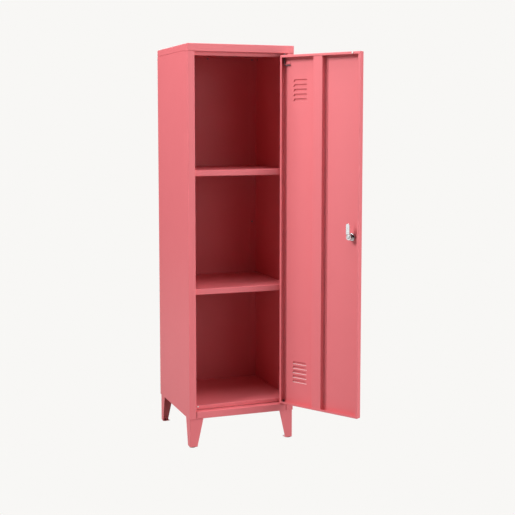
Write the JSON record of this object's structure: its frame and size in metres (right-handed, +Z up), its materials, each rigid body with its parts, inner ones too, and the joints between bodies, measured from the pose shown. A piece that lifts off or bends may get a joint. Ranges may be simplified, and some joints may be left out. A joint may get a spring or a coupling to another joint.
{
  "type": "locker cabinet",
  "caption": "Tall narrow steel locker cabinet with a louvred hinged door, inner shelves, a cam lock and tapered legs.",
  "frame": {"origin": "on the floor, in the middle of the four feet", "axes": "+Z up, -Y out of the door side, +X towards the hinge side"},
  "size_m": [0.5198, 0.6569, 1.37],
  "materials": {
    "paint": "coral red powder coat, satin, fine texture",
    "zinc": "bright zinc plate",
    "chrome": "bright nickel-chrome plate",
    "brushed": "nickel-plated key steel",
    "dark_steel": "darkened steel",
    "nylon": "moulded black nylon",
    "silicone": "clear silicone"
  },
  "bodies": {
    "cabinet": {"left_side_panel": "paint", "right_side_panel": "paint", "back_panel": "paint", "top_cap": "paint", "ceiling_panel": "paint", "floor_panel": "paint", "front_rail": "paint", "lower_shelf": "paint", "lower_shelf_left_runner": "paint", "lower_shelf_right_runner": "paint", "upper_shelf": "paint", "upper_shelf_left_runner": "paint", "upper_shelf_right_runner": "paint", "front_left_leg": "paint", "front_left_glide": "nylon", "front_left_leg_screw_1": "zinc", "front_left_leg_screw_2": "zinc", "front_right_leg": "paint", "front_right_glide": "nylon", "front_right_leg_screw_1": "zinc", "front_right_leg_screw_2": "zinc", "rear_left_leg": "paint", "rear_left_glide": "nylon", "rear_left_leg_screw_1": "zinc", "rear_left_leg_screw_2": "zinc", "rear_right_leg": "paint", "rear_right_glide": "nylon", "rear_right_leg_screw_1": "zinc", "rear_right_leg_screw_2": "zinc", "back_screw_left_top": "zinc", "back_screw_left_middle": "zinc", "back_screw_left_bottom": "zinc", "ceiling_screw_left": "zinc", "back_screw_right_top": "zinc", "back_screw_right_middle": "zinc", "back_screw_right_bottom": "zinc", "ceiling_screw_right": "zinc", "ceiling_screw_rear": "zinc", "lower_hinge_washer": "nylon", "floor_bumper": "silicone"},
    "door": {"door_panel": "paint", "door_stiffener": "paint", "hinge_pin_bracket": "paint", "hinge_pin_spring": "zinc", "lower_hinge_pin": "dark_steel", "lock_barrel": "chrome", "lock_nut": "zinc", "door_bumper": "silicone"},
    "lock_cylinder": {"lock_plug": "chrome", "lock_cam": "zinc", "cam_screw": "zinc"},
    "key": {"lock_key": "brushed"},
    "upper_pin": {"upper_hinge_pin": "zinc"}
  },
  "joints": [
    {"name": "door_hinge", "type": "hinge", "parent": "cabinet", "child": "door", "pos_m": [0.156, -0.1855, 0.7], "axis": [0, 0, 1], "range_deg": [-121, 5]},
    {"name": "lock_turn", "type": "hinge", "parent": "door", "child": "lock_cylinder", "pos_m": [0.30073, -0.42636, 0.73225], "axis": [0.8572, 0.515, 0], "range_deg": [0, 90]},
    {"name": "key_withdraw", "type": "slide", "parent": "lock_cylinder", "child": "key", "axis": [0.8572, 0.515, 0], "range_m": [0, 0.022]},
    {"name": "upper_pin_release", "type": "slide", "parent": "door", "child": "upper_pin", "axis": [0, 0, -1], "range_m": [0, 0.006], "stiffness_N_per_m": 400, "springref_m": -0.008, "deforming": ["hinge_pin_spring"]}
  ]
}
